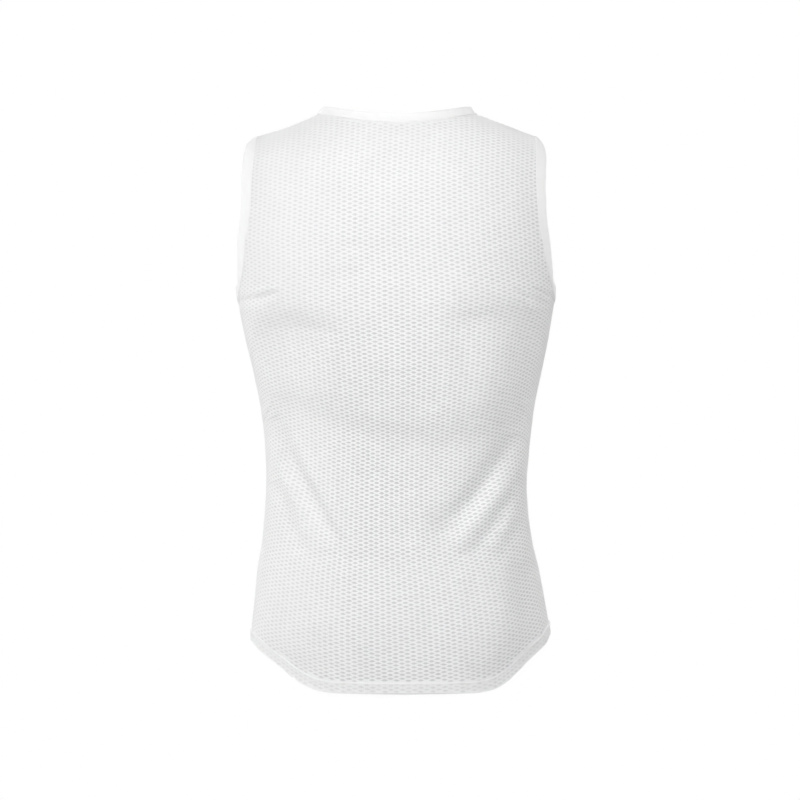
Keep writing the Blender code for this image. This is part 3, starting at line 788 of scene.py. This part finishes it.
def stitches(line, normal, pitch, length, width, height, closed=True, slant=0.0):
    """A row of stitches along a line: short threads that rise out of the cloth and go
    back in.  slant turns each one in the surface."""
    line, normal = np.asarray(line, float), np.asarray(normal, float)
    if closed:
        line, normal = np.vstack([line, line[:1]]), np.vstack([normal, normal[:1]])
    steps = np.linalg.norm(np.diff(line, axis=0), axis=1)
    along = np.concatenate([[0], np.cumsum(steps)])
    count = max(int(along[-1] / pitch), 1)
    centre = (np.arange(count) + 0.5) * along[-1] / count

    def read(field, at):
        at = at % along[-1] if closed else np.clip(at, 0, along[-1])
        return np.stack([np.interp(at, along, field[:, k]) for k in range(3)], axis=-1)

    stations = np.linspace(-1, 1, 6)
    ring = np.linspace(0, np.pi, STITCH_ROUND)
    middle, up = read(line, centre), unit(read(normal, centre))
    ahead = unit(read(line, centre + 0.4) - read(line, centre - 0.4))
    side = unit(np.cross(up, ahead))
    if slant:
        ahead, side = (
            unit(ahead * math.cos(slant) + side * math.sin(slant)),
            unit(side * math.cos(slant) - ahead * math.sin(slant)),
        )
    points = np.zeros((count, len(stations), STITCH_ROUND, 3))
    for a, s in enumerate(stations):
        if slant:
            base, n = middle + ahead * s * length / 2, up
        else:
            base, n = read(line, centre + s * length / 2), unit(read(normal, centre + s * length / 2))
        plump = math.sqrt(max(1 - abs(s) ** 2.6, 0.0))
        for b, t in enumerate(ring):
            points[:, a, b] = (
                base
                + side * (math.cos(t) * width / 2 * (0.35 + 0.65 * plump))
                + n * (math.sin(t) * height * plump - 0.16)
            )
    wide = STITCH_ROUND
    quads = []
    for a in range(len(stations) - 1):
        for b in range(wide - 1):
            k = a * wide + b
            quads.append((k, k + 1, k + wide + 1, k + wide))
    quads = np.array(quads)
    block = len(stations) * wide
    faces = (quads[None] + (np.arange(count) * block)[:, None, None]).reshape(-1, 4)
    uv = np.zeros((count, len(stations), wide, 2))
    uv[..., 0] = (centre[:, None] + stations * length / 2)[..., None]
    uv[..., 1] = np.linspace(0, width, wide)
    return points.reshape(-1, 3), faces, uv.reshape(-1, 2)


# ---------------------------------------------------------------- materials
class Nodes:
    """A material's nodes, placed and linked in the order they are made."""

    def __init__(self, name):
        self.material = bpy.data.materials.new(name)
        self.material.use_nodes = True
        self.tree = self.material.node_tree
        self.tree.nodes.clear()
        self.column = 0
        self.out = self.add("ShaderNodeOutputMaterial")
        self.shader = self.add("ShaderNodeBsdfPrincipled")
        self.tree.links.new(self.shader.outputs["BSDF"], self.out.inputs["Surface"])

    def add(self, kind, **settings):
        node = self.tree.nodes.new(kind)
        node.location = (-220 * self.column, 0)
        self.column += 1
        for key, value in settings.items():
            setattr(node, key, value)
        return node

    def join(self, source, target):
        self.tree.links.new(source, target)

    def noise(self, vector, scale, detail=2.0, rough=0.5):
        node = self.add("ShaderNodeTexNoise")
        node.inputs["Scale"].default_value = scale
        node.inputs["Detail"].default_value = detail
        node.inputs["Roughness"].default_value = rough
        self.join(vector, node.inputs["Vector"])
        return node.outputs[0]

    def ramp(self, factor, stops):
        node = self.add("ShaderNodeValToRGB")
        ramp = node.color_ramp
        while len(ramp.elements) < len(stops):
            ramp.elements.new(0.5)
        for element, (place, colour) in zip(ramp.elements, stops):
            element.position = place
            element.color = (*colour, 1.0)
        self.join(factor, node.inputs[0])
        return node.outputs["Color"]

    def maths(self, operation, a, b=None):
        node = self.add("ShaderNodeMath", operation=operation)
        for socket, value in zip(node.inputs, (a, b)):
            if value is None:
                continue
            if isinstance(value, (int, float)):
                socket.default_value = value
            else:
                self.join(value, socket)
        return node.outputs[0]

    def wave(self, value, turns):
        """A sine between -1 and 1 that repeats `turns` times for each unit of value."""
        return self.maths("SINE", self.maths("MULTIPLY", value, 2 * math.pi * turns))

    def bump(self, height, distance, strength, under=None):
        node = self.add("ShaderNodeBump")
        node.inputs["Distance"].default_value = distance
        node.inputs["Strength"].default_value = strength
        self.join(height, node.inputs["Height"])
        if under is not None:
            self.join(under, node.inputs["Normal"])
        return node.outputs[0]


def cloth_material(name, light, dark, loops, loop_depth, fuzz, rough, sheen, eyelet_shade=None):
    """White polyester: knit loops of a given size in the cloth's own directions, yarn
    fuzz, faint unevenness of colour and a soft sheen.  Given a grey, it also mixes in the
    painted shade of the eyelet floors, where the points' attributes ask for it."""
    m = Nodes(name)
    place = m.add("ShaderNodeTexCoord")
    uv = m.add("ShaderNodeUVMap", uv_map="Cloth")
    split = m.add("ShaderNodeSeparateXYZ")
    m.join(uv.outputs["UV"], split.inputs[0])
    u, v = split.outputs[0], split.outputs[1]
    across, along = loops
    wave_u = m.wave(u, across)
    bent = m.maths("ADD", v, m.maths("MULTIPLY", m.maths("ABSOLUTE", wave_u), 0.35 / along))
    wave_v = m.wave(bent, along)
    loop = m.maths("ADD", m.maths("MULTIPLY", wave_u, 0.5), m.maths("MULTIPLY", wave_v, 0.5))
    yarn = m.noise(place.outputs["Object"], 1500.0, 3.0, 0.6)
    patch = m.noise(place.outputs["Object"], 26.0, 3.0, 0.55)
    first = m.bump(loop, loop_depth * MM, 0.8)
    second = m.bump(yarn, fuzz * MM, 0.7, first)
    m.join(second, m.shader.inputs["Normal"])
    tone = m.maths(
        "ADD",
        m.maths("MULTIPLY", patch, 0.55),
        m.maths("ADD", m.maths("MULTIPLY", yarn, 0.30), m.maths("MULTIPLY", loop, 0.10)),
    )
    colour = m.ramp(tone, ((0.22, dark), (0.62, light)))
    # painted shade: the grey of the eyelet floors, with a faint finer net in it, scaled by how strong the painted
    # shade is at each point
    if eyelet_shade:
        low = m.add("ShaderNodeAttribute", attribute_name="eyelet_shade", attribute_type="GEOMETRY")
        shade_strength = m.add("ShaderNodeAttribute", attribute_name="eyelet_shade_strength", attribute_type="GEOMETRY")
        fine = m.maths("MULTIPLY", m.wave(u, 9.0), m.wave(v, 4.0))
        level = m.maths("ADD", low.outputs["Fac"], m.maths("MULTIPLY", fine, 0.04))
        level = m.ramp(level, ((0.42, (0.0, 0.0, 0.0)), (1.0, (1.0, 1.0, 1.0))))
        level = m.maths("MULTIPLY", level, shade_strength.outputs["Fac"])
        blend = m.add("ShaderNodeMix", data_type="RGBA")
        m.join(level, blend.inputs["Factor"])
        m.join(colour, blend.inputs[6])
        blend.inputs[7].default_value = (*eyelet_shade, 1.0)
        colour = blend.outputs[2]
    m.join(colour, m.shader.inputs["Base Color"])
    m.join(
        m.maths("ADD", m.maths("MULTIPLY", yarn, 0.16), rough - 0.08),
        m.shader.inputs["Roughness"],
    )
    m.shader.inputs["Sheen Weight"].default_value = sheen
    m.shader.inputs["Sheen Roughness"].default_value = 0.45
    m.shader.inputs["Specular IOR Level"].default_value = 0.28
    m.shader.inputs["Metallic"].default_value = 0.0
    return m.material


KNIT_LIGHT, KNIT_DARK = (0.930,) * 3, (0.895,) * 3
PLAIN_LIGHT, PLAIN_DARK = (0.972,) * 3, (0.955,) * 3
# painted shade: the grey of the eyelets' closed, sunk floors, standing in for the shaded inside of the garment
# seen through the open eyelets
EYELET_SHADE_GREY = (0.64,) * 3
THREAD_LIGHT, THREAD_DARK = (0.950,) * 3, (0.910,) * 3

KNIT_LOOPS = (3.0, 1.5)
back_knit = cloth_material("back_mesh_knit", KNIT_LIGHT, KNIT_DARK, KNIT_LOOPS, 0.10, 0.10, 0.80, 0.35, EYELET_SHADE_GREY)
front_knit = cloth_material("front_mesh_knit", KNIT_LIGHT, KNIT_DARK, KNIT_LOOPS, 0.10, 0.10, 0.80, 0.35, EYELET_SHADE_GREY)
hem_knit = cloth_material("hem_mesh_knit", KNIT_LIGHT, KNIT_DARK, KNIT_LOOPS, 0.10, 0.10, 0.80, 0.35, EYELET_SHADE_GREY)
binding = cloth_material("smooth_binding_knit", PLAIN_LIGHT, PLAIN_DARK, (0.55, 0.8), 0.09, 0.07, 0.74, 0.45)
thread = cloth_material("sewing_thread", THREAD_LIGHT, THREAD_DARK, (0.9, 2.0), 0.04, 0.03, 0.55, 0.20)


# ---------------------------------------------------------------- panels
forms = {side: Form(side) for side in ("back", "front")}
TUCK = 1.3  # how far a panel runs past its seam into a binding
TUCK_HEM = 1.6


def panel_outline(form, edge_gap=0.02):
    limit = 1 - edge_gap / form.length(UNDERARM_Z)
    hem_across = np.linspace(-limit, limit, 121)
    hem_line = hem_seam(form, hem_across) - TUCK_HEM
    parts = [(hem_across, hem_line)]
    for sign in (1, -1):
        across, up = armhole_points(form, sign, -TUCK, 90)
        across = sign * np.minimum(sign * across, limit)
        # up the side seam, which is no straight line on the flat cloth
        low = hem_line[-1] if sign > 0 else hem_line[0]
        side_up = np.linspace(low, UNDERARM_Z, 90)[1:]
        side = (np.full(side_up.shape, sign * limit), side_up)
        neck_across, neck_up = neck_points(form, sign, -TUCK, 70)
        tip, foot = across[-1], neck_across[-1]
        ridge = np.linspace(tip, foot, 24)
        tops = np.array([form.top(a) for a in ridge]) - edge_gap
        up[-1], neck_up[-1] = tops[0], tops[-1]
        order = [side, (across, up), (ridge[1:-1], tops[1:-1])]
        order.append((neck_across[::-1], neck_up[::-1]))
        if sign > 0:
            parts += order
        else:
            parts += [(a[::-1], u[::-1]) for a, u in order[::-1]]
    return outline(form, parts)


def panel(side, material, seed):
    """A panel: the net of the knit, cut to its outline, with its edges eased flat where
    they are bound and turned in a little along the seams."""
    form = forms[side]
    polygon = panel_outline(form)
    wale, course, relief, eyelet_shade, triangles = mesh_knit(form, polygon, 2.6, seed, 5.0)
    across, up = on_cloth(form, wale, course)
    gap = signed_distance(form.flat(across, up), polygon)
    (wale, course, relief, eyelet_shade, across, up, gap), triangles = clip(
        [wale, course, relief, eyelet_shade, across, up, gap], triangles, gap
    )
    eased = smooth_step(1.4, 5.2, gap)
    relief = relief * eased
    # the side and shoulder seams draw the cloth in
    to_side = (1 - np.abs(across)) * form.length(up)
    tops = np.interp(across, form.across, form.tops)
    to_shoulder = tops - up
    for gap_to, deep in ((np.where(up < UNDERARM_Z + 6, to_side, 99.0), 0.25), (to_shoulder, 0.4)):
        relief -= deep * np.exp(-((np.clip(gap_to, 0, None) / 1.5) ** 2))
        relief += 0.15 * np.exp(-(((gap_to - 3.4) / 1.6) ** 2))
    points, _ = form.place(across, up, relief)
    if side == "back":
        triangles = triangles[:, ::-1]
    build = Build()
    build.add(points, triangles, np.stack([wale, course], axis=1), eyelet_shade=eyelet_shade)
    return build, form


def seam_line(side, sign, inset, low_from=-560.0):
    form = forms[side]
    across = sign * (1 - inset / form.length(-400.0))
    low = float(hem_seam(form, np.array([across]))[0]) + 0.5
    up = np.linspace(low, UNDERARM_Z - 0.5, 240)
    return form.place(np.full(up.shape, across), up)


back_build, back_form = panel("back", back_knit, 11)
front_build, front_form = panel("front", front_knit, 23)

# flat seams down the sides and over the shoulders: slanted threads that cross the join
for sign in (1, -1):
    points, normal = seam_line("back", sign, 0.1)
    back_build.add(*stitches(points + normal * -0.45, normal, 2.3, 3.4, 0.42, 0.30, False, 1.05), slot=1)
    foot, tip = back_form.across_at(SHOULDER_NECK_X), back_form.across_at(SHOULDER_TIP_X)
    ridge = np.linspace(foot + 0.012, tip - 0.022, 60) * sign
    tops = np.array([back_form.top(a) for a in ridge]) - 0.1
    points, normal = back_form.place(ridge, tops)
    back_build.add(*stitches(points + normal * -0.35, normal, 2.3, 3.2, 0.42, 0.28, False, 1.05), slot=1)

back = back_build.make("back_panel", [back_knit, thread])
front = front_build.make("front_panel", [front_knit, thread])


# ---------------------------------------------------------------- bindings
def circular_smooth(rows, times):
    for _ in range(times):
        rows = (np.roll(rows, 1, axis=0) + 2 * rows + np.roll(rows, -1, axis=0)) / 4
    return rows


class Band:
    """A binding along a closed seam.  lift bends it towards the outside (+) or inside
    (-) of the form and up_share towards +Z."""

    def __init__(self, points, normals, lift, width, up_share):
        self.points, self.normals = np.asarray(points), unit(np.asarray(normals))
        tangents = unit(np.roll(self.points, -1, axis=0) - np.roll(self.points, 1, axis=0))
        away = unit(np.cross(tangents, self.normals))
        centre = self.points.mean(axis=0)
        if np.mean(np.sum(away * (centre - self.points), axis=1)) < 0:
            away = -away
        self.away = unit(circular_smooth(away, 6))
        self.normals = unit(circular_smooth(self.normals, 6))
        self.tangents, self.lift, self.width, self.up_share = tangents, lift, width, up_share
        self.above = np.array([0, 0, 1.0]) - tangents * tangents[:, 2:]

    def middle(self, reach):
        share = np.clip(reach / self.width, 0, 1)
        bend = self.away + self.normals * self.lift * share + self.above * self.up_share * share
        return self.points + unit(bend) * reach

    def at(self, reach, out):
        """The loop at a distance from the seam, moved out of the band's middle, with
        its normals."""
        over = self.middle(reach + 0.4) - self.middle(reach - 0.4)
        normal = unit(np.cross(self.tangents, over))
        turn = np.sign(np.sum(normal * self.normals, axis=1))[:, None]
        normal = unit(circular_smooth(normal * turn, 2))
        return self.middle(reach) + normal * out, normal


def folded_profile(width, half, slot):
    """The section of a folded binding as (reach, out): its two layers, the round fold
    at its free edge and the slot that holds the panel."""
    low = 0.15
    points = [(low, 0.30), (low - 0.05, half * 0.62), (low + 0.45, half * 0.92)]
    points += [(1.6, half), (2.6, half * 0.90), (3.6, half), (width * 0.55, half * 1.02)]
    points += [(width - half * 1.5, half)]
    for angle in np.linspace(70, -70, 7):
        a = math.radians(angle)
        points.append((width - half + half * math.cos(a), half * math.sin(a)))
    points += [(width - half * 1.5, -half), (width * 0.5, -half), (2.0, -half)]
    points += [(low + 0.45, -half * 0.92), (low - 0.05, -half * 0.62), (low, -0.30)]
    points += [(slot, -0.28), (slot, 0.28)]
    return points


def bind(name, band, half, slot, rows_of_stitches, flip):
    build = Build()
    profile = folded_profile(band.width, half, slot)
    rows = [band.at(reach, out)[0] for reach, out in profile]
    rows.append(rows[0])
    build.add(*strip(rows, flip))
    for reach, out in rows_of_stitches:
        line, normal = band.at(reach, out)
        build.add(*stitches(line, normal, 2.9, 2.3, 0.55, 0.34), slot=1)
        line, normal = band.at(reach, -out)
        build.add(*stitches(line, -normal, 2.9, 2.3, 0.55, 0.34), slot=1)
    return build.make(name, [binding, thread])


def joined(back_points, back_normals, front_points, front_normals):
    """A loop from the back's run and the front's, which share their two ends."""
    points = np.concatenate([back_points, front_points[-2:0:-1]])
    normals = np.concatenate([back_normals, front_normals[-2:0:-1]])
    last = len(back_points) - 1
    for at, k in ((0, 0), (last, -1)):
        points[at] = (back_points[k] + front_points[k]) / 2
        normals[at] = unit(back_normals[k] + front_normals[k])
    return points, normals


def armhole_loop(sign, inset, count=110):
    runs = []
    for side in ("back", "front"):
        form = forms[side]
        across, up = armhole_points(form, sign, inset, count)
        up[-1] = form.top(across[-1])
        runs.append(form.place(across, up))
    return joined(*runs[0], *runs[1])


def neck_loop(count=80):
    runs = []
    for side in ("back", "front"):
        form = forms[side]
        ra, ru = neck_points(form, -1, 0.0, count)
        la, lu = neck_points(form, 1, 0.0, count)
        runs.append(form.place(np.concatenate([ra[:0:-1], la]), np.concatenate([ru[:0:-1], lu])))
    return joined(*runs[0], *runs[1])


ARM_OVER = 2.0  # how far an armhole binding lies over the panel's edge
bands = {}
for sign, name, wider, curl in ((1, "armhole_band_left", 2.2, 0.22), (-1, "armhole_band_right", 1.0, 0.40)):
    loop, loop_normals = armhole_loop(sign, ARM_OVER)
    # it curls down over the tip of the shoulder
    under = loop[:, 2].max() - loop[:, 2]
    bend = -0.10 - curl * np.exp(-((under / 13.0) ** 2))
    bands[name] = Band(loop, loop_normals, bend[:, None], ARM_BAND + ARM_OVER + wider, 0.0)
bands["neckband"] = Band(*neck_loop(), 0.0, NECK_BAND, 0.75)

ARM_ROWS = ((1.7, 1.08), (4.6, 1.08))
left_band = bind("left_armhole_binding", bands["armhole_band_left"], 1.05, 4.2, ARM_ROWS, False)
right_band = bind("right_armhole_binding", bands["armhole_band_right"], 1.05, 4.2, ARM_ROWS, True)
neck_band = bind("neck_binding", bands["neckband"], 1.0, 2.2, ((1.7, 0.98), (4.3, 0.98)), True)


# ---------------------------------------------------------------- hem
def hem_roll(form, across):
    """How much fuller the fold is there: the middle of the tail rolls a little."""
    more = 0.8 if form.side == "back" else 0.0
    return 1 + more * np.exp(-(((across + 0.01) / 0.19) ** 4))


def hem_outline(form):
    across = np.linspace(-1, 1, 161)
    edge = hem_up(form, across) + 0.55 * hem_roll(form, across)
    top = hem_seam(form, across) + 0.25
    return outline(form, [(across, edge), (across[::-1], top[::-1])])


def hem_out(share):
    """How far the hem's outer layer stands off the form, from its edge (0) to the
    stitch line (1)."""
    return 0.85 - 0.55 * smooth_step(0.72, 1.0, share)


def hem():
    build = Build()
    for side in ("back", "front"):
        form = forms[side]
        polygon = hem_outline(form)
        wale, course, relief, eyelet_shade, triangles = mesh_knit(form, polygon, 0.9, 37, 5.0, 0.92)
        across, up = on_cloth(form, wale, course)
        gap = signed_distance(form.flat(across, up), polygon)
        (wale, course, relief, eyelet_shade, across, up, gap), triangles = clip(
            [wale, course, relief, eyelet_shade, across, up, gap], triangles, gap
        )
        low, high = hem_up(form, across), hem_seam(form, across)
        share = np.clip((up - low) / (high - low), 0, 1)
        fuller = 1 + (hem_roll(form, across) - 1) * (1 - smooth_step(0.0, 0.5, share))
        out = hem_out(share) * fuller + relief * smooth_step(0.2, 2.5, gap)
        to_side = (1 - np.abs(across)) * form.length(up)
        out -= 0.5 * np.exp(-((to_side / 1.5) ** 2))
        points, _ = form.place(np.clip(across, -1, 1), up, out)
        if side == "back":
            triangles = triangles[:, ::-1]
        # the hem's outer layer takes about half the eyelets' painted shade, as its inner layer lies right behind
        # them
        build.add(points, triangles, np.stack([wale, course], axis=1), eyelet_shade=eyelet_shade * (1.0, 0.52))

    # the fold and the inner layer, and the raised line of stitching
    def ring(above, out, rolled=False, count=240):
        rows, normals = [], []
        for side in ("back", "front"):
            form = forms[side]
            across = np.linspace(-1, 1, count, endpoint=False) * form.sign
            low, high = hem_up(form, across), hem_seam(form, across)
            size = hem_roll(form, across) if rolled else np.ones(count)
            points, normal = form.place(across, low + (high - low) * above * size / HEM_BAND, out * size)
            rows.append(points)
            normals.append(normal)
        return np.concatenate(rows), np.concatenate(normals)

    radius = 0.85
    profile = []
    for turn in (80, 100, 120, 140, 160, 180, 196, 213, 230, 247, 264, 280):
        a = math.radians(turn)
        profile.append((radius + radius * math.cos(a), radius * math.sin(a)))
    rows = [ring(above, out, True)[0] for above, out in profile]
    # painted shadow: a grey line along the lowest edge of the rolled middle of the tail, where the fold's
    # underside lies in shade
    around = np.linspace(-1, 1, 240, endpoint=False)
    underside_shadow = np.concatenate([hem_roll(forms["back"], around) - 1, np.zeros(240)])
    tone = np.zeros((17, 481, 2))
    tone[..., 0] = 1.0
    tone[2:7, :480, 1] = underside_shadow
    profile = [(4.0, -0.82), (8.0, -0.80), (11.5, -0.78), (13.4, -0.72), (14.0, -0.55)]
    rows += [ring(above, out)[0] for above, out in profile]
    build.add(*strip(rows, True), slot=0, eyelet_shade=tone.reshape(-1, 2))
    inner = ring(13.0, -0.80)
    build.add(*stitches(inner[0], -inner[1], 2.4, 2.6, 0.5, 0.4, True, 0.8), slot=1)
    bead = []
    for t in np.linspace(0, math.pi, 9):
        bead.append(ring(HEM_BAND - 0.8 + 0.9 * math.cos(t), 0.10 + 1.65 * math.sin(t))[0])
    build.add(*strip(bead, False), slot=2)
    for above, out in ((HEM_BAND - 0.8, 1.68), (HEM_BAND - 3.6, 0.80)):
        line, normal = ring(above, out)
        build.add(*stitches(line, normal, 2.9, 2.3, 0.6, 0.36), slot=1)
    return build.make("turned_hem", [hem_knit, thread, binding])


hem_piece = hem()

# ---------------------------------------------------------------- the pieces' places
PIECES = (
    (back, "back", (0.425, 0.655), 0.222),
    (front, "front", (0.425, 0.615), 0.198),
    (neck_band, "neckband", (0.034, 0.50), None),
    (left_band, "armhole_band_left", (0.042, 0.46), None),
    (right_band, "armhole_band_right", (0.042, 0.46), None),
    (hem_piece, "hem", (0.026, 0.90), None),
)
for thing, node, flat, area in PIECES:
    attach(thing, "root")
    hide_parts(node)

# ---------------------------------------------------------------- studio
CAMERA = (-0.004, 3.2, -0.3062)


def aimed(thing, at):
    thing.rotation_mode = "QUATERNION"
    thing.rotation_quaternion = (Vector(at) - thing.location).to_track_quat("-Z", "Y")


camera_data = bpy.data.cameras.new("camera")
camera_data.sensor_width = 36.0
camera_data.lens = 36.0 * 3.2 / 0.9072
camera_data.clip_end = 50.0
camera = bpy.data.objects.new("camera", camera_data)
camera.location = CAMERA
bpy.context.scene.collection.objects.link(camera)
aimed(camera, (CAMERA[0], 0.0, CAMERA[2]))
bpy.context.scene.camera = camera


def softbox(name, place, at, size, power, spread=180.0):
    data = bpy.data.lights.new(name, "AREA")
    data.shape = "RECTANGLE"
    data.size, data.size_y = size
    data.energy = power
    data.spread = math.radians(spread)
    lamp = bpy.data.objects.new(name, data)
    lamp.location = place
    lamp.visible_camera = False
    bpy.context.scene.collection.objects.link(lamp)
    aimed(lamp, at)
    return lamp


STUDIO = (0.0, 0.0, -0.3)
UPPER, LOWER = (-0.01, 0.1, -0.15), (-0.005, 0.1, -0.50)
softbox("left_box", (1.6, 1.7, 0.3), STUDIO, (0.8, 0.8), 9.9)
softbox("middle_box", (0.0, 1.6, 0.9), (0.0, 0.0, -0.2), (0.8, 0.8), 4.5)
softbox("right_box", (-0.9, 1.7, 0.3), STUDIO, (0.8, 0.8), 2.6)
softbox("top_box", (0.3, 1.0, 1.4), (0.0, 0.0, -0.2), (0.8, 0.8), 2.6)
softbox("right_top_box", (-0.8, 0.6, 1.3), (0.0, 0.0, -0.2), (0.8, 0.8), 3.0)
softbox("upper_spot", (0.05, 2.4, 0.35), UPPER, (0.25, 0.4), 0.238, 28.0)
softbox("lower_spot", (0.02, 2.4, 0.10), LOWER, (0.25, 0.4), 0.122, 24.0)
# boxes at the two sides, just behind the garment as the photograph sees it
softbox("left_side_box", (2.0, -0.8, -0.2), STUDIO, (0.8, 0.8), 12.0)
softbox("right_side_box", (-2.0, -0.8, -0.2), STUDIO, (0.8, 0.8), 5.7)
# and two for its hidden front
softbox("front_box", (0.4, -2.1, 0.5), STUDIO, (0.9, 0.9), 13.0)
softbox("front_fill_box", (-0.7, -1.9, 0.2), STUDIO, (0.9, 0.9), 5.0)

# white all round to the eye, and a softer white as a light
WORLD_LIGHT = 0.425
world = bpy.data.worlds.new("studio")
bpy.context.scene.world = world
world.use_nodes = True
tree = world.node_tree
tree.nodes.clear()
lights = tree.nodes.new("ShaderNodeBackground")
lights.inputs["Color"].default_value = (1.0, 1.0, 1.0, 1.0)
lights.inputs["Strength"].default_value = WORLD_LIGHT
seen = tree.nodes.new("ShaderNodeBackground")
seen.inputs["Color"].default_value = (1.0, 1.0, 1.0, 1.0)
seen.inputs["Strength"].default_value = 1.0
path = tree.nodes.new("ShaderNodeLightPath")
mix = tree.nodes.new("ShaderNodeMixShader")
world_out = tree.nodes.new("ShaderNodeOutputWorld")
tree.links.new(path.outputs["Is Camera Ray"], mix.inputs[0])
tree.links.new(lights.outputs[0], mix.inputs[1])
tree.links.new(seen.outputs[0], mix.inputs[2])
tree.links.new(mix.outputs[0], world_out.inputs[0])

# a plain pale floor, below and out of the photograph's frame
floor_mesh = bpy.data.meshes.new("floor")
FLOOR = 1.5
floor_mesh.from_pydata(
    [(-FLOOR, -FLOOR, -1.02), (FLOOR, -FLOOR, -1.02), (FLOOR, FLOOR, -1.02), (-FLOOR, FLOOR, -1.02)],
    [],
    [(0, 1, 2, 3)],
)
floor = bpy.data.objects.new("floor", floor_mesh)
bpy.context.scene.collection.objects.link(floor)
m = Nodes("pale_floor")
place = m.add("ShaderNodeTexCoord")
tone = m.noise(place.outputs["Object"], 3.0, 4.0)
m.join(m.ramp(tone, ((0.3, (0.86, 0.86, 0.86)), (0.7, (0.90, 0.90, 0.90)))), m.shader.inputs["Base Color"])
m.shader.inputs["Roughness"].default_value = 0.9
floor_mesh.materials.append(m.material)

bpy.context.scene.view_settings.view_transform = "Standard"
bpy.context.scene.view_settings.look = "None"
bpy.context.scene.view_settings.exposure = 0.0
bpy.context.scene.view_settings.gamma = 1.0
